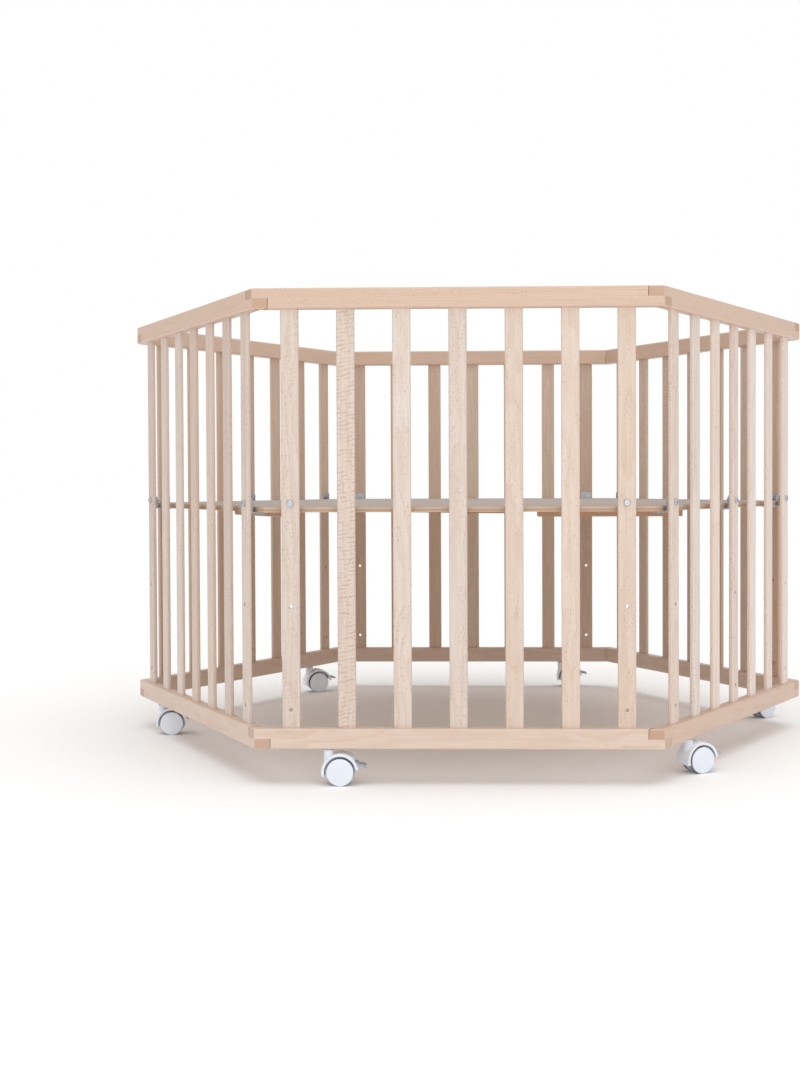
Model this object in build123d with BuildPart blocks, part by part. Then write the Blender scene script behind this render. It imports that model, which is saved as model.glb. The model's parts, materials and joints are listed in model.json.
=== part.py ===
from build123d import *
from math import cos, radians, tan
import os

# Six-sided baby playpen on braked casters, with a floor that bolts in at three heights.
# Millimetres, +Z up. The origin is on the ground under the middle of the pen, and the front panel
# lies along X at the -Y side. Panels are named as they stand around the pen.

# ---- driving dimensions -------------------------------------------------------------------------

side = 596.0                 # outer length of one panel, corner to corner
pen_height = 722.0           # ground to the top of the top rails
rail_underside = 53.0        # ground to the underside of the bottom rails
rail_height = 30.0
rail_thick = 20.0
rail_edge = 3.0              # rounding along the rails

slats_per_panel = 7
slat_pitch = 81.4
slat_width = 26.5
slat_thick = 7.0
slat_edge = 2.4              # rounding along the slats
tenon_depth = 8.0            # slat length let into each rail
mortise_gap = 0.1            # slat to mortise wall

lap_end_gap = 0.8            # open joint between a lap's shoulder and the rail that crosses it
lap_face_gap = 0.1           # between the two halves of a lap
corner_round = 2.0           # rounding of the pen's six standing corners, on both tongues

corner_bolt_radius = 3.0     # M6, through each lap from below
corner_bolt_gap = 0.1
corner_head_radius = 5.0
corner_head_height = 5.0
insert_radius = 4.5
insert_length = 11.0
hex_key_radius = 2.3         # across the corners of a hexagon socket
hex_key_depth = 2.5
corner_head_sunk = 0.5       # screw head below the rail's underside
insert_end_gap = 1.0         # screw's end below the insert's upper end

floor_levels = (410.0, 260.0, 110.0)    # bolt heights above ground, highest first
bolt_radius = 2.5            # M5
bolt_hole_radius = 2.75
bolt_head_radius = 5.0
bolt_head_height = 3.2
bolt_head_round = 1.8
bolt_key_radius = 1.9
bolt_key_depth = 1.9
bolt_stick_out = 1.5         # past the nut
seat_gap = 0.05              # under a bolt's head or a nut
head_overlap = 0.1           # shank into its own head
nut_across = 8.0
nut_height = 4.0

floor_drop = 5.0             # bolt axis above the floor's top face
floor_thick = 8.0
floor_edge_gap = 9.0         # floor edge to the slats' inner faces
seam_gap = 1.0               # between the two floor boards
board_edge = 0.8             # rounding of the boards' top edges

bracket_width = 22.0
bracket_sheet = 2.0
bracket_reach = 27.0         # horizontal leg, under the floor
bracket_height = 23.0        # vertical leg
bracket_gap = 0.4            # bracket to slat
bracket_bend = 3.0           # outer radius of the bend
bracket_corner = 4.0         # rounding of the two legs' free corners
bracket_screw_pitch = 12.0
bracket_screw_inset = 18.0   # from the bracket's outer face
bracket_screw_radius = 1.75
bracket_screw_head = 3.4
bracket_screw_head_height = 1.5
bracket_screw_head_round = 0.8
bracket_screw_bite = 6.5     # into the board

batten_width = 34.0
batten_thick = 12.0
batten_chamfer = 1.5
# Battens: middle x, middle y, length, degrees from +X. The first one lies along the seam, and the
# others stiffen the front board. The rear board has the same two, turned half round.
seam_batten = (-120.0, 69.3, 440.0, -30.0)
board_battens = ((235.0, -285.0, 230.0, 0.0), (-330.0, -190.5, 230.0, -60.0))

caster_from_end = 108.0      # caster stem from the panel's left end, seen from outside
stem_radius = 4.0
stem_low = 38.0              # height of the stem's lower end
socket_radius = 5.5
socket_length = 22.0
flange_radius = 7.5
flange_thick = 1.4
boss_gap = 0.4               # housing to flange
socket_floor = 4.0           # stem's end below the socket's upper end
stem_end_gap = 0.3           # under the stem, in the housing
wheel_radius = 20.0
trail = 17.5                 # wheel axle behind the swivel axis
wheel_inner_face = 4.2       # from the caster's middle plane
wheel_outer_face = 16.6
wheel_rim_round = 1.6
wheel_dish_outer = 16.5
wheel_dish_depth = 7.0
wheel_hub = 5.5
axle_radius = 2.5
axle_half = 14.0
axle_end_gap = 0.4
pin_edge = 0.4               # chamfer on pins and stems
running_gap = 0.05           # radial clearance of pins that turn

boss_radius = 7.5            # housing around the stem
web_half = 3.4               # housing between the wheels
web_foot = 7.0               # how far the web goes below the axle
hood_inner = 23.4            # hood over the wheels, radii from the axle
hood_outer = 26.9
hood_half_width = 15.6
hood_from = 8.0              # degrees above the axle at the brake end
hood_to = 194.0              # past the axle's height at the stem end
wheel_room = 21.6            # radius kept free for each wheel

lever_half_width = 10.0
lever_slot_gap = 0.4
lever_slot_floor = 19.0      # the slot's inner radius from the axle
lever_slot_low = -20.0       # the slot's two ends, in degrees above the axle
lever_slot_high = 38.0
lever_pin_radius = 1.5
lever_pin_half = 12.6
lever_pin_end_gap = 0.3
lever_pivot_radius = 25.2    # from the wheel axle
lever_pivot_angle = 25.0
lever_hub = 3.2
lever_reach = 14.5           # pivot to the tip of the pad
lever_pad_thick = 3.0
lever_pad_top = 1.5          # pad's top face above the pivot
lever_pad_root = 2.0         # pivot to where the pad's underside starts
lever_pad_round = 1.35       # rounding of the pad's outer end
lever_neck = 1.0             # underside of the lever below the pivot
lever_droop = -12.0          # slope of the pad when the brake is on
cam_reach = 4.7              # pivot to the nose that presses on the treads
cam_half = 2.4
cam_tip_half = 1.2

# ---- sizes that follow --------------------------------------------------------------------------

apothem = side * cos(radians(30))            # middle of the pen to a rail's outer face
rail_middle = apothem - rail_thick / 2       # to the rails' centre lines
corner_radius = rail_middle / cos(radians(30))   # to the crossing of two centre lines
top_rail_underside = pen_height - rail_height
slat_inner = rail_middle - slat_thick / 2
slat_outer = rail_middle + slat_thick / 2
end_slope = tan(radians(30))     # how a tongue's end slants, to lie flush with the next rail
lap_reach = (rail_thick + lap_end_gap) / cos(radians(30))   # corner to a shoulder, on the outside
first_slat = (side - (slats_per_panel - 1) * slat_pitch) / 2
end_slat_offset = side / 2 - first_slat

bolt_height = floor_levels[0]
floor_top = bolt_height - floor_drop
floor_underside = floor_top - floor_thick
floor_apothem = slat_inner - floor_edge_gap
bracket_outer = slat_inner - bracket_gap
bracket_screw_line = bracket_outer - bracket_screw_inset
boss_top = rail_underside - flange_thick - boss_gap
stem_top = rail_underside + socket_length - socket_floor

panel_turns = {
    "front": 0,
    "front_right": 60,
    "back_right": 120,
    "back": 180,
    "back_left": 240,
    "front_left": 300,
}
# Each caster has swung its own way: the direction from its stem to its axle, in degrees from +X.
caster_headings = {
    "front": 0,
    "front_right": 27,
    "back_right": 35,
    "back": 0,
    "back_left": 22,
    "front_left": 4,
}
# Panels whose middle slat also carries a bolt, at the two ends of the floor's seam.
seam_panels = ("front_right", "back_left")


def panel_frame(turn, height=0.0):
    """Plane of one panel: X to the right seen from outside, Y inwards, origin in the pen's middle."""
    return Plane.XY.rotated((0, 0, turn)).offset(height)


def facing_in(turn, outward, height):
    """Plane on a panel that looks inwards, with its X to the left seen from outside and its Y up."""
    frame = panel_frame(turn)
    origin = frame.from_local_coords((0, -outward, height))
    return Plane(origin=origin, x_dir=-frame.x_dir, z_dir=frame.y_dir)


def save(part, label):
    """Name a finished piece and write it out."""
    part.label = label
    export_step(part, f"parts/{label}.step")


# ---- the six panels -----------------------------------------------------------------------------


def lap_outline(right):
    """Corners of the area that a lap's missing half covers, seen from above in the panel's frame."""
    margin = rail_thick / 2
    way = 1 if right else -1
    far = side / 2 + 2 * rail_thick
    outline = [(way * far, -apothem - margin), (way * far, -apothem + rail_thick + margin)]
    for inwards in (rail_thick + margin, -margin):
        outline.append((way * (side / 2 + inwards * end_slope - lap_reach), -apothem + inwards))
    return outline


def make_rail(turn, underside, label, mortises_up, stem_hole):
    """One rail, half-lapped at both ends: its left tongue is the upper half, its right the lower."""
    frame = panel_frame(turn)
    length = side + 2 * rail_thick
    end = frame.from_local_coords((-length / 2, -rail_middle, underside + rail_height / 2))
    half = rail_height / 2 + lap_face_gap / 2
    pin_along = corner_radius / 2
    mortise = (slat_width + 2 * mortise_gap, slat_thick + 2 * mortise_gap)
    with BuildPart() as form:
        # The pen's outline: it cuts each tongue's end flush with the rail that it crosses.
        with BuildSketch(Plane.XY.offset(underside)):
            RegularPolygon(apothem, 6, major_radius=False, rotation=0)
        extrude(amount=rail_height)
        fillet(form.edges().filter_by(Axis.Z), corner_round)
        fillet(form.edges().filter_by(Axis.Z, reverse=True), rail_edge)
    with BuildPart() as rail:
        with BuildSketch(Plane(origin=end, x_dir=frame.y_dir, z_dir=frame.x_dir)):
            RectangleRounded(rail_thick, rail_height, rail_edge)
        extrude(amount=length)
        add(form.part, mode=Mode.INTERSECT)
        # Lower half away at the left end, upper half away at the right end.
        with BuildSketch(panel_frame(turn, underside)):
            with BuildLine():
                Polyline(*lap_outline(right=False), close=True)
            make_face()
        extrude(amount=half, mode=Mode.SUBTRACT)
        with BuildSketch(panel_frame(turn, underside + rail_height - half)):
            with BuildLine():
                Polyline(*lap_outline(right=True), close=True)
            make_face()
        extrude(amount=half, mode=Mode.SUBTRACT)
        # Mortises for the slats.
        mouth = underside + rail_height if mortises_up else underside
        with BuildSketch(panel_frame(turn, mouth)):
            with Locations((0, -rail_middle)):
                with GridLocations(slat_pitch, 1, slats_per_panel, 1):
                    RectangleRounded(*mortise, slat_edge)
        extrude(amount=-tenon_depth if mortises_up else tenon_depth, mode=Mode.SUBTRACT)
        # Upright bores for the corner hardware: a bolt in the lower tongue, an insert in the upper.
        with BuildSketch(panel_frame(turn, underside)):
            with Locations((pin_along, -rail_middle)):
                Circle(corner_bolt_radius + corner_bolt_gap)
        extrude(amount=rail_height, mode=Mode.SUBTRACT)
        with BuildSketch(panel_frame(turn, underside)):
            with Locations((pin_along, -rail_middle)):
                Circle(corner_head_radius + corner_bolt_gap)
        extrude(amount=corner_head_height, mode=Mode.SUBTRACT)
        with BuildSketch(panel_frame(turn, underside)):
            with Locations((-pin_along, -rail_middle)):
                Circle(insert_radius)
        extrude(amount=rail_height / 2 + insert_length, mode=Mode.SUBTRACT)
        if stem_hole:
            with BuildSketch(panel_frame(turn, underside)):
                with Locations((-side / 2 + caster_from_end, -rail_middle)):
                    Circle(socket_radius)
            extrude(amount=socket_length, mode=Mode.SUBTRACT)
    save(rail.part, label)


def make_slats(turn, label, columns):
    """The seven upright slats of one panel; the columns named have a bolt hole at each floor level."""
    low = rail_underside + rail_height - tenon_depth
    high = top_rail_underside + tenon_depth
    with BuildPart() as slats:
        with BuildSketch(panel_frame(turn, low)):
            with Locations((0, -rail_middle)):
                with GridLocations(slat_pitch, 1, slats_per_panel, 1):
                    RectangleRounded(slat_width, slat_thick, slat_edge)
        extrude(amount=high - low)
        with BuildSketch(facing_in(turn, slat_outer + 1, 0)):
            with Locations([(x, z) for x in columns for z in floor_levels]):
                Circle(bolt_hole_radius)
        extrude(amount=slat_thick + 2, mode=Mode.SUBTRACT)
    save(slats.part, label)


def make_corner_hardware():
    """Screws that clamp the laps from below, and the threaded inserts they pull on."""
    shank_foot = 2 * corner_head_sunk
    screw_top = rail_height / 2 + insert_length - insert_end_gap
    with BuildPart() as bolts:
        for underside in (rail_underside, top_rail_underside):
            with BuildSketch(Plane.XY.offset(underside + corner_head_sunk)):
                with PolarLocations(corner_radius, 6):
                    Circle(corner_head_radius)
            extrude(amount=corner_head_height - corner_head_sunk)
            with BuildSketch(Plane.XY.offset(underside + shank_foot)):
                with PolarLocations(corner_radius, 6):
                    Circle(corner_bolt_radius)
            extrude(amount=screw_top - shank_foot)
            with BuildSketch(Plane.XY.offset(underside)):
                with PolarLocations(corner_radius, 6):
                    RegularPolygon(hex_key_radius, 6)
            extrude(amount=corner_head_sunk + hex_key_depth, mode=Mode.SUBTRACT)
    save(bolts.part, "corner_bolts")
    with BuildPart() as inserts:
        for underside in (rail_underside, top_rail_underside):
            with BuildSketch(Plane.XY.offset(underside + rail_height / 2 + lap_face_gap)):
                with PolarLocations(corner_radius, 6):
                    Circle(insert_radius - running_gap)
                    Circle(corner_bolt_radius + running_gap, mode=Mode.SUBTRACT)
            extrude(amount=insert_length - 2 * lap_face_gap)
    save(inserts.part, "corner_inserts")


# ---- the floor ----------------------------------------------------------------------------------

seam_turn = -30              # the seam runs from the back left panel to the front right one


def bolt_places():
    """(turn, offset to the right) of every bolt that carries the floor."""
    places = [(turn, x) for turn in panel_turns.values() for x in (-end_slat_offset, end_slat_offset)]
    return places + [(panel_turns[name], 0.0) for name in seam_panels]


def make_floor_board(other_half, label):
    """One of the two plywood boards: half of a hexagon, cut square to two opposite sides."""
    with BuildPart() as board:
        with BuildSketch(Plane.XY.offset(floor_underside)):
            RegularPolygon(floor_apothem, 6, major_radius=False, rotation=0)
            with Locations(Location((0, 0, 0), (0, 0, seam_turn))):
                Rectangle(3 * side, 2 * side, align=(Align.CENTER, other_half), mode=Mode.SUBTRACT)
                Rectangle(3 * side, seam_gap, mode=Mode.SUBTRACT)
        extrude(amount=floor_thick)
        fillet(board.edges().group_by(Axis.Z)[-1], board_edge)
        for turn, along in bolt_places():
            with BuildSketch(panel_frame(turn, floor_underside)):
                with Locations((along, -bracket_screw_line)):
                    with GridLocations(bracket_screw_pitch, 1, 2, 1):
                        Circle(bracket_screw_radius + running_gap)
            extrude(amount=bracket_screw_bite, mode=Mode.SUBTRACT)
    save(board.part, label)


def make_brackets():
    """Steel angles: one leg stands inside a slat, the other carries the floor's edge."""
    underside = floor_underside - bracket_sheet
    leg = bracket_outer - bracket_reach / 2
    back = bracket_outer - bracket_sheet / 2
    with BuildPart() as brackets:
        for turn, along in bolt_places():
            with BuildSketch(panel_frame(turn, underside)):
                with Locations((along, -leg)):
                    Rectangle(bracket_width, bracket_reach)
            extrude(amount=bracket_sheet)
            with BuildSketch(panel_frame(turn, underside)):
                with Locations((along, -back)):
                    Rectangle(bracket_width, bracket_sheet)
            extrude(amount=bracket_height)
        # The bend, and the corners of the legs' free ends.
        along_slat = brackets.edges().filter_by(lambda e: abs(e.length - bracket_width) < 0.01)
        bends = along_slat.group_by(Axis.Z)[0]
        fillet([e for e in bends if distance_out(e.center()) > back], bracket_bend)
        upright = brackets.edges().filter_by(Axis.Z).filter_by(lambda e: e.length < 2 * bracket_sheet)
        fillet([e for e in upright if distance_out(e.center()) < leg], bracket_corner)
        inward = brackets.edges().filter_by(lambda e: abs(e.length - bracket_sheet) < 0.01)
        fillet(inward.group_by(Axis.Z)[-1], bracket_corner)
        for turn, along in bolt_places():
            with BuildSketch(facing_in(turn, bracket_outer + 1, bolt_height)):
                with Locations((-along, 0)):
                    Circle(bolt_hole_radius)
            extrude(amount=bracket_sheet + 2, mode=Mode.SUBTRACT)
            with BuildSketch(panel_frame(turn, underside - 1)):
                with Locations((along, -bracket_screw_line)):
                    with GridLocations(bracket_screw_pitch, 1, 2, 1):
                        Circle(bracket_screw_radius + running_gap)
            extrude(amount=bracket_sheet + 1.5, mode=Mode.SUBTRACT)
    save(brackets.part, "floor_brackets")


def make_bolts_and_nuts():
    """Pan-head bolts from outside through the slats, and the nuts inside on the angles."""
    bracket_inner = bracket_outer - bracket_sheet
    head_seat = slat_outer + seat_gap
    tip = bracket_inner - nut_height - bolt_stick_out
    with BuildPart() as bolts:
        for turn, along in bolt_places():
            with BuildSketch(facing_in(turn, head_seat + bolt_head_height, bolt_height)):
                with Locations((-along, 0)):
                    Circle(bolt_head_radius)
            extrude(amount=bolt_head_height)
            with BuildSketch(facing_in(turn, head_seat + head_overlap, bolt_height)):
                with Locations((-along, 0)):
                    Circle(bolt_radius)
            extrude(amount=head_seat + head_overlap - tip)
        circles = bolts.edges().filter_by(GeomType.CIRCLE)
        fillet([e for e in circles if distance_out(e.center()) > head_seat + 1], bolt_head_round)
        for turn, along in bolt_places():
            with BuildSketch(facing_in(turn, head_seat + bolt_head_height, bolt_height)):
                with Locations((-along, 0)):
                    RegularPolygon(bolt_key_radius, 6)
            extrude(amount=bolt_key_depth, mode=Mode.SUBTRACT)
    save(bolts.part, "floor_bolts")
    with BuildPart() as nuts:
        for turn, along in bolt_places():
            with BuildSketch(facing_in(turn, bracket_inner - seat_gap, bolt_height)):
                with Locations((-along, 0)):
                    RegularPolygon(nut_across / 2, 6, major_radius=False, rotation=30)
                    Circle(bolt_radius + running_gap, mode=Mode.SUBTRACT)
            extrude(amount=nut_height)
    save(nuts.part, "floor_nuts")


def distance_out(point):
    """How far a point lies out from the pen's middle, square to the panel nearest to it."""
    return max(Vector(0, -1, 0).rotate(Axis.Z, turn).dot(Vector(point.X, point.Y, 0))
               for turn in panel_turns.values())


def make_bracket_screws():
    """Two short screws through each angle up into the floor."""
    seat = floor_underside - bracket_sheet - seat_gap
    with BuildPart() as screws:
        for turn, along in bolt_places():
            with BuildSketch(panel_frame(turn, seat - bracket_screw_head_height)):
                with Locations((along, -bracket_screw_line)):
                    with GridLocations(bracket_screw_pitch, 1, 2, 1):
                        Circle(bracket_screw_head)
            extrude(amount=bracket_screw_head_height)
        fillet(screws.edges().group_by(Axis.Z)[0], bracket_screw_head_round)
        for turn, along in bolt_places():
            with BuildSketch(panel_frame(turn, seat - head_overlap)):
                with Locations((along, -bracket_screw_line)):
                    with GridLocations(bracket_screw_pitch, 1, 2, 1):
                        Circle(bracket_screw_radius)
            extrude(amount=bracket_sheet + bracket_screw_bite - head_overlap)
    save(screws.part, "bracket_screws")


def make_battens():
    """Battens under the floor, as one group of separate sticks."""
    turned = [(-x, -y, length, angle) for x, y, length, angle in board_battens]
    with BuildPart() as battens:
        for x, y, length, angle in (seam_batten, *board_battens, *turned):
            with BuildSketch(Plane(origin=(x, y, floor_underside - batten_thick), z_dir=(0, 0, 1))):
                with Locations(Location((0, 0, 0), (0, 0, angle))):
                    Rectangle(length, batten_width)
            extrude(amount=batten_thick)
        chamfer(battens.edges().group_by(Axis.Z)[0], batten_chamfer)
    save(battens.part, "floor_battens")


# ---- the casters --------------------------------------------------------------------------------


def caster_frame(name):
    """Plane on the ground under a caster's stem, with X towards its axle."""
    panel = panel_frame(panel_turns[name])
    stem = panel.from_local_coords((-side / 2 + caster_from_end, -rail_middle, 0))
    heading = Vector(1, 0, 0).rotate(Axis.Z, caster_headings[name])
    return Plane(origin=stem, x_dir=heading, z_dir=(0, 0, 1))


def caster_side(name, along, up, across):
    """Upright plane through a caster, looking along its axle: X forwards, Y up, normal outwards."""
    frame = caster_frame(name)
    origin = frame.from_local_coords((along, -across, up))
    return Plane(origin=origin, x_dir=frame.x_dir, z_dir=-frame.y_dir)


def lever_pivot(name, across):
    """Upright plane through the brake lever's pivot, with its axes as in caster_side."""
    pivot = Vector(lever_pivot_radius, 0, 0).rotate(Axis.Z, lever_pivot_angle)
    return caster_side(name, trail + pivot.X, wheel_radius + pivot.Y, across)


def make_housing(name):
    """Stem boss, middle web and the hood over both wheels, moulded as one."""
    frame = caster_frame(name)
    with BuildPart() as housing:
        # Hood: a band around the axle.
        with BuildSketch(caster_side(name, trail, wheel_radius, -hood_half_width)):
            with BuildLine():
                outer = CenterArc((0, 0), hood_outer, hood_from, hood_to - hood_from)
                inner = CenterArc((0, 0), hood_inner, hood_from, hood_to - hood_from)
                Line(outer @ 0, inner @ 0)
                Line(outer @ 1, inner @ 1)
            make_face()
        extrude(amount=2 * hood_half_width)
        # Web between the wheels, out to the hood, and open below the axle.
        with BuildSketch(caster_side(name, trail, wheel_radius, -web_half)):
            with BuildLine():
                rim = CenterArc((0, 0), hood_outer - 1, hood_from, hood_to - hood_from)
                Polyline(rim @ 1, (-web_foot, -web_foot), (web_foot, -web_foot), rim @ 0)
            make_face()
        extrude(amount=2 * web_half)
        # Boss around the stem, down to the web.
        with BuildSketch(frame.offset(wheel_radius)):
            Circle(boss_radius)
        extrude(amount=boss_top - wheel_radius)
        # Room for the two wheels.
        for across in (web_half, -web_half - 2 * hood_half_width):
            with BuildSketch(caster_side(name, trail, wheel_radius, across)):
                Circle(wheel_room)
            extrude(amount=2 * hood_half_width, mode=Mode.SUBTRACT)
        # Slot and pin holes for the brake lever.
        slot_half = lever_half_width + lever_slot_gap
        slot_sweep = lever_slot_high - lever_slot_low
        with BuildSketch(caster_side(name, trail, wheel_radius, -slot_half)):
            with BuildLine():
                far = CenterArc((0, 0), hood_outer + 2, lever_slot_low, slot_sweep)
                near = CenterArc((0, 0), lever_slot_floor, lever_slot_low, slot_sweep)
                Line(far @ 0, near @ 0)
                Line(far @ 1, near @ 1)
            make_face()
        extrude(amount=2 * slot_half, mode=Mode.SUBTRACT)
        pin_room = lever_pin_half + lever_pin_end_gap
        with BuildSketch(lever_pivot(name, -pin_room)):
            Circle(lever_pin_radius + running_gap)
        extrude(amount=2 * pin_room, mode=Mode.SUBTRACT)
        # Bores for the stem and the axle.
        with BuildSketch(frame.offset(stem_low - stem_end_gap)):
            Circle(stem_radius + running_gap)
        extrude(amount=boss_top - stem_low + 1, mode=Mode.SUBTRACT)
        with BuildSketch(caster_side(name, trail, wheel_radius, -web_half - 1)):
            Circle(axle_radius)
        extrude(amount=2 * web_half + 2, mode=Mode.SUBTRACT)
    save(housing.part, f"{name}_caster_housing")


def make_axle(name):
    """Steel pin pressed through the web; the wheels turn on its two ends."""
    with BuildPart() as axle:
        with BuildSketch(caster_side(name, trail, wheel_radius, -axle_half)):
            Circle(axle_radius)
        extrude(amount=2 * axle_half)
        chamfer(axle.edges().filter_by(GeomType.CIRCLE), pin_edge)
    save(axle.part, f"{name}_caster_axle")


def make_wheel(name, outer):
    """One wheel: a dished disc with a hub, bored from its inner face."""
    facing = 1 if outer else -1
    base = caster_side(name, trail, wheel_radius, facing * wheel_inner_face)
    plane = Plane(origin=base.origin, x_dir=base.x_dir, z_dir=base.z_dir * facing)
    width = wheel_outer_face - wheel_inner_face
    with BuildPart() as wheel:
        with BuildSketch(plane):
            Circle(wheel_radius)
        extrude(amount=width)
        rims = wheel.edges().filter_by(GeomType.CIRCLE)
        fillet(rims, wheel_rim_round)
        with BuildSketch(plane):
            Circle(wheel_dish_outer)
            Circle(wheel_hub, mode=Mode.SUBTRACT)
        extrude(amount=wheel_dish_depth, mode=Mode.SUBTRACT)
        with BuildSketch(plane):
            Circle(axle_radius + running_gap)
        extrude(amount=axle_half - wheel_inner_face + axle_end_gap, mode=Mode.SUBTRACT)
    save(wheel.part, f"{name}_caster_{'outer' if outer else 'inner'}_wheel")


def make_brake_lever(name):
    """Foot pad, hub and cam nose; moulded pins at the hub's ends turn in the hood's cheeks."""
    pad = Vector(1, 0, 0).rotate(Axis.Z, lever_droop)
    up = Vector(0, 1, 0).rotate(Axis.Z, lever_droop)
    inwards = Vector(-1, 0, 0).rotate(Axis.Z, lever_pivot_angle)
    beside = Vector(0, 1, 0).rotate(Axis.Z, lever_pivot_angle)
    tip = pad * lever_reach
    top = up * lever_pad_top
    under = up * (lever_pad_top - lever_pad_thick)
    root = pad * lever_pad_root
    nose = inwards * cam_reach
    foot = beside * cam_half
    nose_half = beside * cam_tip_half
    end = lever_pivot(name, 0).from_local_coords((tip.X, tip.Y, 0))
    with BuildPart() as lever:
        with BuildSketch(lever_pivot(name, -lever_half_width)):
            Circle(lever_hub)
            with BuildLine():
                Polyline(top, tip + top, tip + under, root + under, up * -lever_neck, close=True)
            make_face()
            with BuildLine():
                Polyline(foot, nose + nose_half, nose - nose_half, -foot, close=True)
            make_face()
        extrude(amount=2 * lever_half_width)
        across = lever.edges().filter_by(lambda e: e.length > lever_half_width)
        fillet(across.sort_by(lambda e: (e.center() - end).length)[:2], lever_pad_round)
        with BuildSketch(lever_pivot(name, -lever_pin_half)):
            Circle(lever_pin_radius)
        extrude(amount=2 * lever_pin_half)
    save(lever.part, f"{name}_brake_lever")


def make_stems_and_sockets():
    """Steel stems of the six casters and the flanged sockets they stand in."""
    with BuildPart() as stems:
        for name in panel_turns:
            with BuildSketch(caster_frame(name).offset(stem_low)):
                Circle(stem_radius)
            extrude(amount=stem_top - stem_low)
        chamfer(stems.edges().filter_by(GeomType.CIRCLE), pin_edge)
    save(stems.part, "caster_stems")
    with BuildPart() as sockets:
        for name in panel_turns:
            with BuildSketch(caster_frame(name).offset(rail_underside - flange_thick)):
                Circle(flange_radius)
            extrude(amount=flange_thick)
            with BuildSketch(caster_frame(name).offset(rail_underside - 0.1)):
                Circle(socket_radius - running_gap)
            extrude(amount=socket_length - 0.2)
            with BuildSketch(caster_frame(name).offset(rail_underside - flange_thick - 1)):
                Circle(stem_radius + running_gap)
            extrude(amount=socket_length, mode=Mode.SUBTRACT)
    save(sockets.part, "caster_sockets")


# ---- build everything ---------------------------------------------------------------------------

os.makedirs("parts", exist_ok=True)

for name, turn in panel_turns.items():
    columns = [-end_slat_offset, end_slat_offset]
    if name in seam_panels:
        columns.append(0.0)
    make_rail(turn, top_rail_underside, f"{name}_top_rail", mortises_up=False, stem_hole=False)
    make_rail(turn, rail_underside, f"{name}_bottom_rail", mortises_up=True, stem_hole=True)
    make_slats(turn, f"{name}_slats", columns)

make_corner_hardware()

make_floor_board(Align.MAX, "rear_floor_board")
make_floor_board(Align.MIN, "front_floor_board")
make_battens()
make_brackets()
make_bolts_and_nuts()
make_bracket_screws()

make_stems_and_sockets()
for name in panel_turns:
    make_housing(name)
    make_axle(name)
    make_wheel(name, outer=True)
    make_wheel(name, outer=False)
    make_brake_lever(name)
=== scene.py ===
# %% [markdown]
# # A six-sided playpen in beech, on white twin-wheel casters
# The wooden frame, the floor and the fastenings come ready made as CAD parts, and they stay where
# they are. This lesson gives them finishes, remodels the moulded plastic parts of the casters, whose
# soft edges a CAD solid doesn't have, and sets up a small studio.
#
# We start by loading the CAD parts. They arrive as one mesh per part, in metres, standing on z = 0.

import json
from math import atan2, cos, degrees, pi, radians, sin

import bpy
from mathutils import Matrix, Vector


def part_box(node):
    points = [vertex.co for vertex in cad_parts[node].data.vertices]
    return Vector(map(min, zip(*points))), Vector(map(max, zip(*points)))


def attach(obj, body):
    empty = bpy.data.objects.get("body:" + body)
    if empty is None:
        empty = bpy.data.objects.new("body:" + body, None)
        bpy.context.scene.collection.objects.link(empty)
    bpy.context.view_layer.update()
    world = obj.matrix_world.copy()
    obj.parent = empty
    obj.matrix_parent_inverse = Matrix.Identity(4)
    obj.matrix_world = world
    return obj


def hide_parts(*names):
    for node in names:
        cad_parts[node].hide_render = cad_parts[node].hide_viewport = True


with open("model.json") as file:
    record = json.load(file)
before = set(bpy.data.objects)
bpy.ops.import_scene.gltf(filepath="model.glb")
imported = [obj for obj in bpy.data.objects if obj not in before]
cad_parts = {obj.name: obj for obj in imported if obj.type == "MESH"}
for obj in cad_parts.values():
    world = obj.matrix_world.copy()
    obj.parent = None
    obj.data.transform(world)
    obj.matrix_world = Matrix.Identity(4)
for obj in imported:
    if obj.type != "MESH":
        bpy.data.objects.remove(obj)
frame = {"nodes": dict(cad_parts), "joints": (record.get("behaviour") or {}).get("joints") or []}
nodes = frame["nodes"]
joints = {joint["name"]: joint for joint in frame["joints"]}
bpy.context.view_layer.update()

MM = 0.001
PANEL_TURNS = {
    "front": 0,
    "front_right": 60,
    "back_right": 120,
    "back": 180,
    "back_left": 240,
    "front_left": 300,
}

# %% [markdown]
# ## The camera
# The view is from a little above the pen's own floor, a little to the right of the middle, and slightly
# turned to the left. A camera's place and turn can be set as location and Euler angles, but three
# small turns in a row are easy to get wrong. Here the three axes of the camera are worked out as
# vectors and put in its matrix, so that each turn can be read on its own. A shift moves the picture
# without turning the camera, so upright edges stay upright. It is a share of the picture's long side.

# %% Camera
SENSOR = 36.0            # millimetres
FOCAL_LENGTH = 48.166    # millimetres
CAMERA_PLACE = Vector((0.0641, -2.5815, 0.4414))
YAW, PITCH, ROLL = radians(1.693), radians(-1.18), radians(-0.201)
SHIFT_RIGHT, SHIFT_UP = -0.056075, -0.02243

level_right = Vector((cos(YAW), sin(YAW), 0))
level_forward = Vector((-sin(YAW), cos(YAW), 0))
forward = level_forward * cos(PITCH) + Vector((0, 0, 1)) * sin(PITCH)
upward = Vector((0, 0, 1)) * cos(PITCH) - level_forward * sin(PITCH)
camera_x = level_right * cos(ROLL) + upward * sin(ROLL)
camera_y = upward * cos(ROLL) - level_right * sin(ROLL)
camera_turn = Matrix((camera_x, camera_y, -forward)).transposed().to_4x4()

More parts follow.
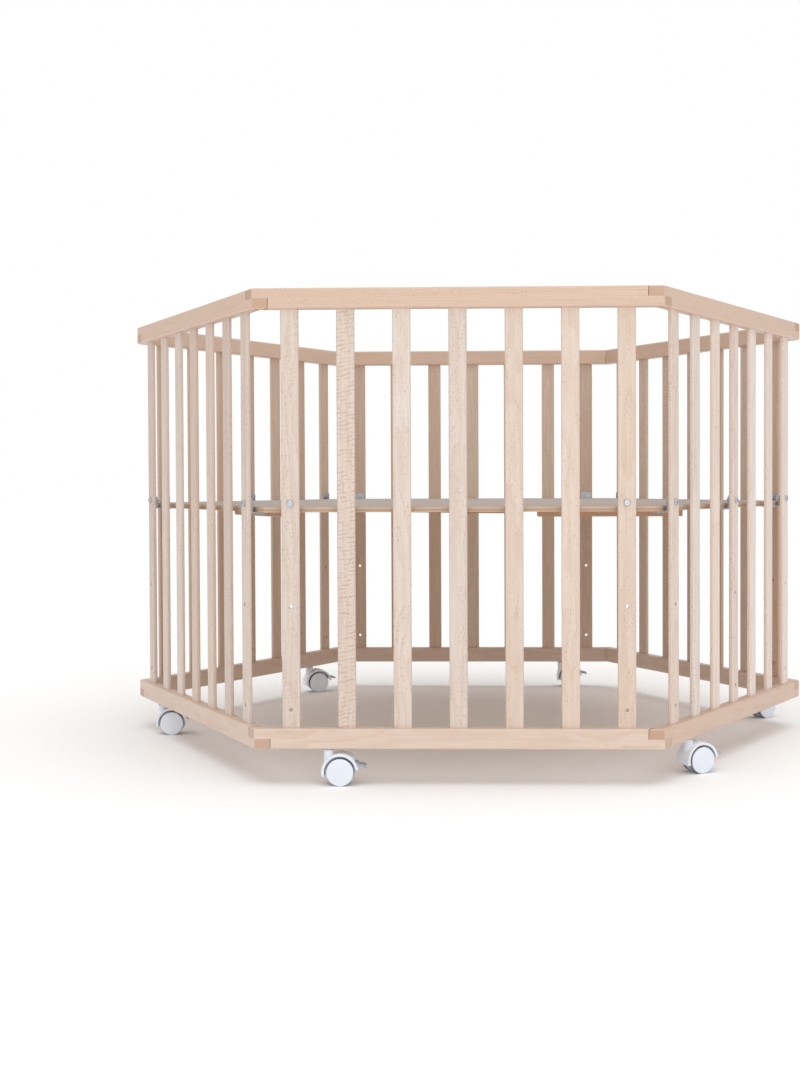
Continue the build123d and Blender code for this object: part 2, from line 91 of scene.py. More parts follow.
camera_data = bpy.data.cameras.new("camera")
camera_data.sensor_width = SENSOR
camera_data.lens = FOCAL_LENGTH
camera_data.shift_x = SHIFT_RIGHT
camera_data.shift_y = SHIFT_UP
camera_data.clip_end = 100
camera = bpy.data.objects.new("camera", camera_data)
bpy.context.scene.collection.objects.link(camera)
camera.matrix_world = Matrix.Translation(CAMERA_PLACE) @ camera_turn
bpy.context.scene.camera = camera
print("lens:", round(FOCAL_LENGTH, 2), "mm")

# %% [markdown]
# ## Nodes and colours
# Every finish below is a tree of shader nodes. Building a tree in code repeats one step over and
# over: make a node, set it up, and join its inputs. One helper does that, for every kind of node: a
# socket gets either a plain value or the output that feeds it. Colours are written as the sRGB hex
# values that a colour picker shows, and shaders work in linear light, so one function turns them.

# %% Helpers for materials


def linear(colour):
    """An sRGB hex colour as the linear RGBA that shaders use."""
    parts = [int(colour[i:i + 2], 16) / 255 for i in (1, 3, 5)]
    return tuple(p / 12.92 if p <= 0.04045 else ((p + 0.055) / 1.055) ** 2.4 for p in parts) + (1,)


def add(tree, kind, sockets=None, stops=None, **settings):
    """Add a node of any kind: its settings, its sockets' values or links, and a ramp's stops."""
    node = tree.nodes.new(kind)
    for key, value in settings.items():
        setattr(node, key, value)
    for key, value in (sockets or {}).items():
        if isinstance(value, bpy.types.NodeSocket):
            tree.links.new(value, node.inputs[key])
        else:
            node.inputs[key].default_value = value
    for i, (place, value) in enumerate(stops or []):
        ramp = node.color_ramp.elements
        stop = ramp[i] if i < 2 else ramp.new(place)
        stop.position = place
        stop.color = value
    return node


def start_material(name, **values):
    """A new Principled material with values on the shader's own sockets."""
    material = bpy.data.materials.new(name)
    material.use_nodes = True
    shader = material.node_tree.nodes["Principled BSDF"]
    for key, value in values.items():
        shader.inputs[key.replace("_", " ")].default_value = value
    return material, material.node_tree, shader


def paint(obj, material):
    """Make this the object's only material."""
    obj.data.materials.clear()
    obj.data.materials.append(material)


def cells(length, width):
    """The scale that gives a pattern cells of this length and width, in millimetres."""
    return 1 / length, 1 / width, 1 / width


BLACK, WHITE = (0, 0, 0, 1), (1, 1, 1, 1)

# %% [markdown]
# ## Beech
# The rails and slats are European beech, planed and sanded, under a thin satin lacquer. Close to, it
# has four things: faint growth rings, fine fibres along the stick, short brown flecks where the rays
# of the tree are cut across, and on a few sticks a curly figure that runs across the grain. On a
# sawn end the rings show as arcs and the wood is darker.
#
# One way is a flat pattern on each face, but then the grain would break at every edge. A solid
# pattern, worked out from the point in space, cuts through the stick like real wood, so the arcs on
# the tongues' ends appear by themselves. Its coordinates are millimetres: along the grain, across the
# face, and into the stick. The slats of a panel are one part, so their number is found by rounding
# the place along the panel, and each number gets its own piece of tree.

# %% The wood's own sizes, in millimetres
SLAT_PITCH = 81.4
TREE_SPREAD = (900, 70, 90)              # how far apart sticks are cut: along, across and into
PITH_PLACE = (0, 95, 60)                 # across and into the tree
RING_SPACING = 2.6
RING_WANDER = (0, 14, 14)
WANDER_LENGTH, WANDER_WIDTH = 200.0, 33.333
WAVE_TURNS_PER_UNIT = 20 / (2 * pi)      # a Wave texture's rings per unit at scale 1
FIBRE_LENGTH, FIBRE_WIDTH = 45.0, 0.8
STREAK_LENGTH, STREAK_WIDTH = 380.0, 5.0
# A fleck fills about half of a cell of this size. Real ones are about 0.4 mm wide and 2 mm long.
# They are drawn about twice as coarse, to show.
FLECK_LENGTH, FLECK_WIDTH = 6.0, 1.8
PATCH_LENGTH, PATCH_WIDTH = 83.333, 16.667
CURL_SPACING, CURL_BREAK, CURL_TILT = 6.0, 6.5, radians(10)
LACQUER_DIP = 0.06

# %% The wood's own colours, and how much of each shows
RING_COLOUR, RING_DEPTH, END_RING_DEPTH = "#b98c6d", 0.16, 0.6
FLECK_COLOUR, FLECK_DEPTH = "#a87a5c", 0.45
CURL_COLOUR, CURL_DEPTH = "#b08a6c", 0.42
END_COLOUR, END_DEPTH = "#a9805f", 0.4
HUE_SPREAD = 0.5
STICK_LIGHT = (0.95, 1.05)
FIBRE_LIGHT = (0.93, 1.06)

# %% [markdown]
# Every stick is cut from its own place in the tree. Typed numbers for 55 sticks would be a long list,
# so a White Noise node turns the stick's number into draws, which stay the same each time. Its colour
# gives a place to cut from and a hue, and its value makes the stick lighter or darker, and more or
# less flecked. The same function turns the panel straight first, because its grain runs along it.

# %% The place of a stick in the tree
TREE_STEP, RAIL_TREE = 13.0, 7


def cut_from_tree(tree, panel_turn, upright, sample):
    """The grain's coordinates, the stick's draws, the slat's number, and the normal along the grain."""
    spot = add(tree, "ShaderNodeTexCoord")
    turn_back = (0, 0, -radians(panel_turn))
    panel = add(tree, "ShaderNodeMapping", {
        "Vector": spot.outputs["Object"], "Rotation": turn_back, "Scale": (1 / MM, 1 / MM, 1 / MM)})
    facing = add(tree, "ShaderNodeMapping", {
        "Vector": spot.outputs["Normal"], "Rotation": turn_back}, vector_type="VECTOR")
    xyz = add(tree, "ShaderNodeSeparateXYZ", {"Vector": panel.outputs["Vector"]})
    normal = add(tree, "ShaderNodeSeparateXYZ", {"Vector": facing.outputs["Vector"]})
    if upright:
        share = add(tree, "ShaderNodeMath", {0: xyz.outputs["X"], 1: SLAT_PITCH}, operation="DIVIDE")
        number = add(tree, "ShaderNodeMath", {0: share.outputs[0]}, operation="ROUND").outputs[0]
        middle = add(tree, "ShaderNodeMath", {0: number, 1: SLAT_PITCH}, operation="MULTIPLY")
        across = add(tree, "ShaderNodeMath", {0: xyz.outputs["X"], 1: middle.outputs[0]},
                     operation="SUBTRACT")
        stick = add(tree, "ShaderNodeCombineXYZ", {
            "X": xyz.outputs["Z"], "Y": across.outputs[0], "Z": xyz.outputs["Y"]})
        which = add(tree, "ShaderNodeMath", {0: number, 1: sample * TREE_STEP},
                    operation="ADD").outputs[0]
        along = normal.outputs["Z"]
    else:
        number = None
        stick = add(tree, "ShaderNodeCombineXYZ", {
            "X": xyz.outputs["X"], "Y": xyz.outputs["Z"], "Z": xyz.outputs["Y"]})
        which = sample * TREE_STEP + RAIL_TREE
        along = normal.outputs["X"]
    chance = add(tree, "ShaderNodeTexWhiteNoise", {"W": which}, noise_dimensions="1D")
    cut = add(tree, "ShaderNodeVectorMath", {
        0: chance.outputs["Color"], 1: TREE_SPREAD, 2: stick.outputs[0]}, operation="MULTIPLY_ADD")
    return cut.outputs["Vector"], chance, number, along


# %% Growth rings


def growth_rings(tree, grain):
    """Ring lines round a pith outside the stick, bent a few millimetres by the tree's waviness."""
    slow = add(tree, "ShaderNodeVectorMath", {0: grain, 1: cells(WANDER_LENGTH, WANDER_WIDTH)},
               operation="MULTIPLY")
    wander = add(tree, "ShaderNodeTexNoise", {"Vector": slow.outputs["Vector"], "Scale": 1.0,
                                              "Detail": 2.0})
    bent = add(tree, "ShaderNodeVectorMath", {
        0: wander.outputs["Color"], 1: RING_WANDER, 2: grain}, operation="MULTIPLY_ADD")
    from_pith = add(tree, "ShaderNodeVectorMath", {0: bent.outputs["Vector"], 1: PITH_PLACE},
                    operation="SUBTRACT")
    rings = add(tree, "ShaderNodeTexWave", {
        "Vector": from_pith.outputs["Vector"], "Scale": 1 / RING_SPACING / WAVE_TURNS_PER_UNIT,
        "Distortion": 1.2, "Detail": 2.0, "Detail Scale": 0.3},
        wave_type="RINGS", rings_direction="X", wave_profile="SAW")
    lines = add(tree, "ShaderNodeValToRGB", {"Fac": rings.outputs["Fac"]},
                [(0.35, BLACK), (0.92, WHITE)])
    return lines.outputs["Color"]


# %% Ray flecks


def ray_flecks(tree, grain, chance, fleck_bar):
    """Long thin cells in patches, most of them left out: a cell shows if its draw passes the bar."""
    stretched = add(tree, "ShaderNodeVectorMath", {0: grain, 1: cells(FLECK_LENGTH, FLECK_WIDTH)},
                    operation="MULTIPLY")
    cell = add(tree, "ShaderNodeTexVoronoi", {"Vector": stretched.outputs["Vector"], "Scale": 1.0})
    dash = add(tree, "ShaderNodeMapRange", {
        "Value": cell.outputs["Distance"], "From Min": 0.38, "From Max": 0.24, "To Min": 0.0,
        "To Max": 1.0})
    draw = add(tree, "ShaderNodeSeparateColor", {"Color": cell.outputs["Color"]})
    stick_bar = add(tree, "ShaderNodeMapRange", {
        "Value": chance.outputs["Value"], "To Min": fleck_bar - 0.25, "To Max": fleck_bar + 0.35})
    drawn = add(tree, "ShaderNodeMath", {0: draw.outputs["Red"], 1: stick_bar.outputs["Result"]},
                operation="GREATER_THAN")
    broad = add(tree, "ShaderNodeVectorMath", {0: grain, 1: cells(PATCH_LENGTH, PATCH_WIDTH)},
                operation="MULTIPLY")
    patches = add(tree, "ShaderNodeTexNoise", {"Vector": broad.outputs["Vector"], "Scale": 1.0})
    where = add(tree, "ShaderNodeMapRange", {"Value": patches.outputs["Fac"], "From Min": 0.34,
                                             "From Max": 0.56})
    shown = add(tree, "ShaderNodeMath", {0: dash.outputs["Result"], 1: drawn.outputs[0]},
                operation="MULTIPLY")
    return add(tree, "ShaderNodeMath", {0: shown.outputs[0], 1: where.outputs["Result"]},
               operation="MULTIPLY").outputs[0]


# %% Curly figure


def curly_figure(tree, grain, number, curly_slat):
    """On one slat, thin dark ripples across the grain, broken up and slightly tilted."""
    tilted = add(tree, "ShaderNodeMapping", {"Vector": grain, "Rotation": (0, 0, CURL_TILT)})
    ripple = add(tree, "ShaderNodeTexWave", {
        "Vector": tilted.outputs["Vector"], "Scale": 1 / CURL_SPACING / WAVE_TURNS_PER_UNIT,
        "Distortion": 5.0, "Detail": 2.0, "Detail Scale": 0.9},
        wave_type="BANDS", bands_direction="X", wave_profile="SIN")
    line = add(tree, "ShaderNodeMapRange", {"Value": ripple.outputs["Fac"], "From Min": 0.6,
                                            "From Max": 0.95})
    torn = add(tree, "ShaderNodeVectorMath", {0: grain, 1: cells(CURL_BREAK, 2 * CURL_BREAK)},
               operation="MULTIPLY")
    gaps = add(tree, "ShaderNodeTexNoise", {"Vector": torn.outputs["Vector"], "Scale": 1.0,
                                            "Detail": 1.0})
    kept = add(tree, "ShaderNodeMapRange", {"Value": gaps.outputs["Fac"], "From Min": 0.42,
                                            "From Max": 0.54})
    crest = add(tree, "ShaderNodeMath", {0: line.outputs["Result"], 1: kept.outputs["Result"]},
                operation="MULTIPLY")
    this_one = add(tree, "ShaderNodeMath", {0: number, 1: float(curly_slat), 2: 0.5},
                   operation="COMPARE")
    return add(tree, "ShaderNodeMath", {0: crest.outputs[0], 1: this_one.outputs[0]},
               operation="MULTIPLY").outputs[0]


# %% [markdown]
# The colour is built from the broad to the fine. Broad streaks and the stick's own hue mix the light
# and the dark colour of the part. Rings darken it, a little on the faces and much more on the ends,
# then fibres lighten and darken it, and flecks and curls are laid on last.

# %% The bare wood's colour


def bare_wood(tree, grain, chance, fibres, is_end, light, dark):
    """The colour of the wood with its streaks, rings and fibres, before any fleck."""
    broad = add(tree, "ShaderNodeVectorMath", {0: grain, 1: cells(STREAK_LENGTH, STREAK_WIDTH)},
                operation="MULTIPLY")
    streaks = add(tree, "ShaderNodeTexNoise", {"Vector": broad.outputs["Vector"], "Scale": 1.0,
                                               "Detail": 4.0, "Roughness": 0.6})
    draws = add(tree, "ShaderNodeSeparateColor", {"Color": chance.outputs["Color"]})
    redder = add(tree, "ShaderNodeMath", {0: draws.outputs["Green"], 1: HUE_SPREAD,
                                          2: streaks.outputs["Fac"]}, operation="MULTIPLY_ADD")
    dark_share = add(tree, "ShaderNodeMath", {0: redder.outputs[0], 1: HUE_SPREAD / 2},
                     operation="SUBTRACT", use_clamp=True)
    body = add(tree, "ShaderNodeMix", {"Factor": dark_share.outputs[0], "A": linear(light),
                                       "B": linear(dark)}, data_type="RGBA")
    ring_share = add(tree, "ShaderNodeMapRange", {"Value": is_end, "To Min": RING_DEPTH,
                                                  "To Max": END_RING_DEPTH})
    ring_depth = add(tree, "ShaderNodeMath", {
        0: growth_rings(tree, grain), 1: ring_share.outputs["Result"]}, operation="MULTIPLY")
    ringed = add(tree, "ShaderNodeMix", {"Factor": ring_depth.outputs[0], "A": body.outputs["Result"],
                                         "B": linear(RING_COLOUR)}, data_type="RGBA")
    stick_light = add(tree, "ShaderNodeMapRange", {
        "Value": chance.outputs["Value"], "To Min": STICK_LIGHT[0], "To Max": STICK_LIGHT[1]})
    fibre_light = add(tree, "ShaderNodeMapRange", {
        "Value": fibres, "From Min": 0.3, "From Max": 0.7, "To Min": FIBRE_LIGHT[0],
        "To Max": FIBRE_LIGHT[1]})
    value = add(tree, "ShaderNodeMath", {
        0: stick_light.outputs["Result"], 1: fibre_light.outputs["Result"]}, operation="MULTIPLY")
    return add(tree, "ShaderNodeVectorMath", {0: ringed.outputs["Result"], "Scale": value.outputs[0]},
               operation="SCALE").outputs["Vector"]


# %% Beech


def beech(name, panel_turn, upright, sample, light, dark, curly_slat=None, fleck_bar=0.45):
    """Lacquered beech for one part. sample picks the tree; curly_slat is a slat's number from the
    middle; the higher the fleck_bar, the fewer the flecks."""
    material, tree, shader = start_material(name, Roughness=0.42, IOR=1.5, Coat_Weight=0.18,
                                            Coat_Roughness=0.3)
    grain, chance, number, along = cut_from_tree(tree, panel_turn, upright, sample)
    fine = add(tree, "ShaderNodeVectorMath", {0: grain, 1: cells(FIBRE_LENGTH, FIBRE_WIDTH)},
               operation="MULTIPLY")
    fibres = add(tree, "ShaderNodeTexNoise", {"Vector": fine.outputs["Vector"], "Scale": 1.0,
                                              "Detail": 3.0, "Roughness": 0.6}).outputs["Fac"]
    either_end = add(tree, "ShaderNodeMath", {0: along}, operation="ABSOLUTE")
    is_end = add(tree, "ShaderNodeMapRange", {"Value": either_end.outputs[0], "From Min": 0.6,
                                              "From Max": 0.85}).outputs["Result"]
    wood = bare_wood(tree, grain, chance, fibres, is_end, light, dark)
    relief = ray_flecks(tree, grain, chance, fleck_bar)
    fleck_depth = add(tree, "ShaderNodeMath", {0: relief, 1: FLECK_DEPTH}, operation="MULTIPLY")
    wood = add(tree, "ShaderNodeMix", {"Factor": fleck_depth.outputs[0], "A": wood,
                                       "B": linear(FLECK_COLOUR)}, data_type="RGBA").outputs["Result"]
    if curly_slat is not None:
        curl = curly_figure(tree, grain, number, curly_slat)
        curl_depth = add(tree, "ShaderNodeMath", {0: curl, 1: CURL_DEPTH}, operation="MULTIPLY")
        wood = add(tree, "ShaderNodeMix", {"Factor": curl_depth.outputs[0], "A": wood,
                                           "B": linear(CURL_COLOUR)}, data_type="RGBA")
        wood = wood.outputs["Result"]
        relief = add(tree, "ShaderNodeMath", {0: relief, 1: curl}, operation="ADD").outputs[0]
    end_depth = add(tree, "ShaderNodeMath", {0: is_end, 1: END_DEPTH}, operation="MULTIPLY")
    finished = add(tree, "ShaderNodeMix", {"Factor": end_depth.outputs[0], "A": wood,
                                           "B": linear(END_COLOUR)}, data_type="RGBA")
    tree.links.new(finished.outputs["Result"], shader.inputs["Base Color"])

    # Lacquer lies smooth over the wood and dips a little in fibres and flecks.
    dips = add(tree, "ShaderNodeMath", {0: relief, 1: -0.6, 2: fibres}, operation="MULTIPLY_ADD")
    bump = add(tree, "ShaderNodeBump", {"Height": dips.outputs[0], "Strength": 0.25,
                                        "Distance": LACQUER_DIP * MM})
    tree.links.new(bump.outputs["Normal"], shader.inputs["Normal"])
    sheen = add(tree, "ShaderNodeMapRange", {"Value": fibres, "From Min": 0.3, "From Max": 0.7,
                                             "To Min": 0.38, "To Max": 0.5})
    tree.links.new(sheen.outputs["Result"], shader.inputs["Roughness"])
    return material


# %% [markdown]
# Each part gets a beech of its own, from its own place in the tree, because no two sticks of a real
# pen match. Each tint is a light and a dark colour for the wood's body. The slat tints of the three
# back panels are darker and browner: painted shade, for the shade inside the pen at the back. The
# battens' darker tint is painted shade too, for the shade under the floor.

# %% Paint the wooden parts
TOP_TINTS = [("#e2c9b6", "#d8b49a"), ("#e4ccba", "#dbb9a2"), ("#e0c5b1", "#d5b198")]
BOTTOM_TINTS = [("#dfcbbc", "#d5b7a2"), ("#ddc7b7", "#d2b39d"), ("#e0cdbf", "#d7baa6")]
# The back_right, back and back_left tints are darker and browner than the front three: painted shade.
SLAT_TINTS_WITH_PAINTED_SHADE = [("#e2d7ce", "#d7bda9"), ("#ece1d9", "#e2cbbb"), ("#ddcab9", "#cfae95"),
              ("#dccab9", "#cdac93"), ("#ddcbbb", "#ceae96"), ("#e2d7ce", "#d6bca9")]
CURLY_SLATS = {"front": -2, "back_right": 1}
# Among many trees, this one mixes pale, redder and flecked slats well in the front panel.
FIRST_SLAT_TREE = 1152
TOP_RAIL_TREE, BOTTOM_RAIL_TREE, BATTEN_TREE = 1, 11, 40
RAIL_FLECK_BAR = 1.05

for count, (panel, turn) in enumerate(PANEL_TURNS.items()):
    light, dark = TOP_TINTS[count % 3]
    paint(nodes[f"{panel}_top_rail"],
          beech(f"lacquered_beech_{panel}_top_rail", turn, False, count + TOP_RAIL_TREE, light, dark,
                fleck_bar=RAIL_FLECK_BAR))
    light, dark = BOTTOM_TINTS[count % 3]
    paint(nodes[f"{panel}_bottom_rail"],
          beech(f"lacquered_beech_{panel}_bottom_rail", turn, False, count + BOTTOM_RAIL_TREE, light,
                dark, fleck_bar=RAIL_FLECK_BAR))
    light, dark = SLAT_TINTS_WITH_PAINTED_SHADE[count]
    paint(nodes[f"{panel}_slats"],
          beech(f"lacquered_beech_{panel}_slats", turn, True, count + FIRST_SLAT_TREE, light, dark,
                curly_slat=CURLY_SLATS.get(panel)))
# The battens' darker tint is painted shade, for the shade under the floor boards above them.
paint(nodes["floor_battens"],
      beech("planed_beech_battens_painted_shade", 0, False, BATTEN_TREE, "#c9a182", "#b78c6d", fleck_bar=0.6))
print("beech parts painted:", 3 * len(PANEL_TURNS) + 1)

# %% [markdown]
# ## The floor boards
# Each half of the floor is beech plywood with a matt grey laminate on top. The laminate is paper in
# resin, printed with nothing but a faint haze, and pressed against a fine matt plate. The cut edge
# shows five veneers, which cross each other, so every second one shows end grain and is darker.
#
# Three materials on chosen faces would do, but the boards are CAD parts whose faces aren't touched.
# One material reads the height of the point instead: the top face is laminate, and everything below
# it is wood in layers.

# %% Floor boards
floor_low, floor_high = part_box("front_floor_board")
LAMINATE = 0.35 * MM
VENEERS = 5
HAZE_SIZE = 50.0         # millimetres, as the sizes below
PLATE_GRAIN = 10 / 11
VENEER_FIBRE_LENGTH, VENEER_FIBRE_WIDTH = 60.0, 1.5
PLATE_DEPTH = 0.05

floor_board, tree, shader = start_material("laminated_beech_plywood", IOR=1.5)
spot = add(tree, "ShaderNodeTexCoord")
xyz = add(tree, "ShaderNodeSeparateXYZ", {"Vector": spot.outputs["Object"]})
millimetres = add(tree, "ShaderNodeVectorMath", {0: spot.outputs["Object"], "Scale": 1 / MM},
                  operation="SCALE")
haze = add(tree, "ShaderNodeTexNoise", {"Vector": millimetres.outputs["Vector"],
                                        "Scale": 1 / HAZE_SIZE, "Detail": 5.0, "Roughness": 0.65})
matt_plate = add(tree, "ShaderNodeTexNoise", {"Vector": millimetres.outputs["Vector"],
                                              "Scale": 1 / PLATE_GRAIN, "Detail": 2.0})
laminate = add(tree, "ShaderNodeMix", {"Factor": haze.outputs["Fac"], "A": linear("#b8aca4"),
                                       "B": linear("#ac9f96")}, data_type="RGBA")
stretched = add(tree, "ShaderNodeMapping", {
    "Vector": millimetres.outputs["Vector"], "Rotation": (0, 0, radians(30)),
    "Scale": cells(VENEER_FIBRE_LENGTH, VENEER_FIBRE_WIDTH)})
veneer_grain = add(tree, "ShaderNodeTexNoise", {"Vector": stretched.outputs["Vector"], "Scale": 1.0,
                                                "Detail": 4.0, "Roughness": 0.6})
layer = add(tree, "ShaderNodeMapRange", {
    "Value": xyz.outputs["Z"], "From Min": floor_low.z, "From Max": floor_high.z - LAMINATE,
    "To Min": 0.0, "To Max": VENEERS / 2})
odd = add(tree, "ShaderNodeMath", {0: layer.outputs["Result"], 1: 1.0}, operation="PINGPONG")
crossed = add(tree, "ShaderNodeMapRange", {"Value": odd.outputs[0], "From Min": 0.42,
                                           "From Max": 0.58, "To Min": 0.15, "To Max": 0.85})
plies = add(tree, "ShaderNodeMix", {"Factor": crossed.outputs["Result"], "A": linear("#cfb49d"),
                                    "B": linear("#b49379")}, data_type="RGBA")
grain_light = add(tree, "ShaderNodeMapRange", {"Value": veneer_grain.outputs["Fac"],
                                               "From Min": 0.3, "From Max": 0.7, "To Min": 0.88,
                                               "To Max": 1.08})
wood = add(tree, "ShaderNodeVectorMath", {0: plies.outputs["Result"],
                                          "Scale": grain_light.outputs["Result"]},
           operation="SCALE")
on_top = add(tree, "ShaderNodeMath", {0: xyz.outputs["Z"], 1: floor_high.z - LAMINATE},
             operation="GREATER_THAN")
board = add(tree, "ShaderNodeMix", {"Factor": on_top.outputs[0], "A": wood.outputs["Vector"],
                                    "B": laminate.outputs["Result"]}, data_type="RGBA")
tree.links.new(board.outputs["Result"], shader.inputs["Base Color"])
gloss = add(tree, "ShaderNodeMapRange", {"Value": matt_plate.outputs["Fac"], "To Min": 0.5,
                                         "To Max": 0.62})
tree.links.new(gloss.outputs["Result"], shader.inputs["Roughness"])
bump = add(tree, "ShaderNodeBump", {"Height": matt_plate.outputs["Fac"], "Strength": 0.15,
                                    "Distance": PLATE_DEPTH * MM})
tree.links.new(bump.outputs["Normal"], shader.inputs["Normal"])
for name in ("front_floor_board", "rear_floor_board"):
    paint(nodes[name], floor_board)
print("floor:", round((floor_high.z - floor_low.z) / MM, 1), "mm thick")

# %% [markdown]
# ## Metal fittings
# The bolts, nuts, angles and pins are steel with a bright zinc coat. Zinc is plated on in a bath, and
# it dries to a pale blue grey with a slight cloudiness, and fine scratches from handling. The threaded
# inserts in the rails are turned brass. A metal's colour is its reflection, so base colour and
# roughness do all the work, and the default IOR stays.

# %% Metals
SCRATCH_LENGTH, SCRATCH_WIDTH = 4.0, 0.2    # millimetres
SCRATCH_TURN = (0.3, 0.5, 0.7)              # radians, so that no scratch follows an edge


def metal(name, light, dark, rough, cloud_size, scratch_depth):
    """A metal with clouds of colour and gloss, and fine scratches; sizes in millimetres."""
    material, tree, shader = start_material(name, Metallic=1.0)
    spot = add(tree, "ShaderNodeTexCoord")
    millimetres = add(tree, "ShaderNodeVectorMath", {0: spot.outputs["Object"], "Scale": 1 / MM},
                      operation="SCALE")
    clouds = add(tree, "ShaderNodeTexNoise", {"Vector": millimetres.outputs["Vector"],
                                              "Scale": 1 / cloud_size, "Detail": 4.0})
    colour = add(tree, "ShaderNodeMix", {"Factor": clouds.outputs["Fac"], "A": linear(light),
                                         "B": linear(dark)}, data_type="RGBA")
    tree.links.new(colour.outputs["Result"], shader.inputs["Base Color"])
    gloss = add(tree, "ShaderNodeMapRange", {"Value": clouds.outputs["Fac"], "To Min": rough - 0.08,
                                             "To Max": rough + 0.1})
    tree.links.new(gloss.outputs["Result"], shader.inputs["Roughness"])
    along = add(tree, "ShaderNodeMapping", {"Vector": millimetres.outputs["Vector"],
                                            "Rotation": SCRATCH_TURN,
                                            "Scale": cells(SCRATCH_LENGTH, SCRATCH_WIDTH)})
    scratches = add(tree, "ShaderNodeTexNoise", {"Vector": along.outputs["Vector"], "Scale": 1.0,
                                                 "Detail": 2.0})
    bump = add(tree, "ShaderNodeBump", {"Height": scratches.outputs["Fac"], "Strength": 0.3,
                                        "Distance": scratch_depth * MM})
    tree.links.new(bump.outputs["Normal"], shader.inputs["Normal"])
    return material


zinc = metal("bright_zinc_plated_steel", "#cdd1d6", "#b4b9c0", 0.32, 3.0, 0.02)
brass = metal("turned_brass", "#cfae6a", "#b8924e", 0.35, 4.0, 0.02)
for name in ("corner_bolts", "caster_stems", "floor_brackets", "floor_bolts", "floor_nuts",
             "bracket_screws", *(f"{panel}_caster_axle" for panel in PANEL_TURNS)):
    paint(nodes[name], zinc)
paint(nodes["corner_inserts"], brass)
print("metal parts painted:", 7 + len(PANEL_TURNS))

# %% [markdown]
# ## Moulded plastics
# The casters are injection moulded: hood and wheels in white nylon with a touch of blue in it, the
# wheels' treads and the brake's foot pad in grey thermoplastic rubber, which grips. Moulded nylon takes
# the texture of its mould, a fine spark-eroded grain, and flows into faint waves under it. A little
# light goes into the white before it comes back, which softens the edge of a shadow.

# %% Plastics
FLOW_SIZE = 12.5    # millimetres


def moulded(name, light, dark, rough, grain_size, grain_depth, **values):
    """A moulded plastic: slow waves in colour, and a fine grain in gloss; sizes in millimetres."""
    material, tree, shader = start_material(name, IOR=1.5, **values)
    spot = add(tree, "ShaderNodeTexCoord")
    millimetres = add(tree, "ShaderNodeVectorMath", {0: spot.outputs["Object"], "Scale": 1 / MM},
                      operation="SCALE")
    flow = add(tree, "ShaderNodeTexNoise", {"Vector": millimetres.outputs["Vector"],
                                            "Scale": 1 / FLOW_SIZE, "Detail": 3.0})
    colour = add(tree, "ShaderNodeMix", {"Factor": flow.outputs["Fac"], "A": linear(light),
                                         "B": linear(dark)}, data_type="RGBA")
    tree.links.new(colour.outputs["Result"], shader.inputs["Base Color"])
    spark = add(tree, "ShaderNodeTexNoise", {"Vector": millimetres.outputs["Vector"],
                                             "Scale": 1 / grain_size, "Detail": 2.0})
    gloss = add(tree, "ShaderNodeMapRange", {"Value": spark.outputs["Fac"], "To Min": rough - 0.06,
                                             "To Max": rough + 0.08})
    tree.links.new(gloss.outputs["Result"], shader.inputs["Roughness"])
    bump = add(tree, "ShaderNodeBump", {"Height": spark.outputs["Fac"], "Strength": 0.2,
                                        "Distance": grain_depth * MM})
    tree.links.new(bump.outputs["Normal"], shader.inputs["Normal"])
    return material


white_nylon = moulded("white_moulded_nylon", "#f0f4fb", "#e6ebf5", 0.38, 0.5, 0.02,
                      Subsurface_Weight=0.08, Subsurface_Radius=(0.002, 0.002, 0.0022))
grey_tread = moulded("grey_thermoplastic_rubber_tread", "#8b8d93", "#7b7d84", 0.62, 0.35, 0.04)
grey_pad = moulded("grey_moulded_foot_pad", "#b3b5bd", "#a6a8b1", 0.5, 0.4, 0.03)
paint(nodes["caster_sockets"], moulded("grey_nylon_socket", "#b9bcc4", "#abaeb7", 0.45, 0.5, 0.02))
print("plastics ready")

# %% [markdown]
# ## Where each caster stands
# A caster swivels, so each of the six points its own way. Nothing is guessed: the swivel joint gives
# the stem, and the middle of the axle's box gives the axle, so the direction from one to the other
# is the caster's heading. One caster is modelled at the origin, with X from stem to axle, Y across
# and Z up from the axle, and then a matrix for each caster carries a copy to its place.

# %% Caster places
caster_places = {}
for panel in PANEL_TURNS:
    low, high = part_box(f"{panel}_caster_axle")
    axle = (low + high) / 2
    stem = Vector(joints[f"{panel}_swivel"]["pos_m"])
    heading = atan2(axle.y - stem.y, axle.x - stem.x)
    caster_places[panel] = Matrix.Translation(axle) @ Matrix.Rotation(heading, 4, "Z")
    print(panel, "caster heads", round(degrees(heading), 1), "degrees")

# %% [markdown]
# ## Modelling by hand
# Modelling with operators needs two habits. An operator works on everything that is selected, so a
# new piece starts by deselecting all. And without a mouse, faces are picked in code: enter edit mode
# and deselect all, leave it, mark the faces whose middle and normal pass a test, and enter it again.

# %% Helpers for modelling
SMOOTH_ANGLE = radians(35)


def deselect_all():
    """Leave edit mode and select nothing."""
    if bpy.context.mode != "OBJECT":
        bpy.ops.object.mode_set(mode="OBJECT")
    bpy.ops.object.select_all(action="DESELECT")


def pick(obj, test):
    """In edit mode, select the faces whose middle and normal pass the test."""
    bpy.ops.object.mode_set(mode="EDIT")
    bpy.ops.mesh.select_mode(type="FACE")
    bpy.ops.mesh.select_all(action="DESELECT")
    bpy.ops.object.mode_set(mode="OBJECT")
    for face in obj.data.polygons:
        face.select = test(face.center, face.normal)
    bpy.ops.object.mode_set(mode="EDIT")


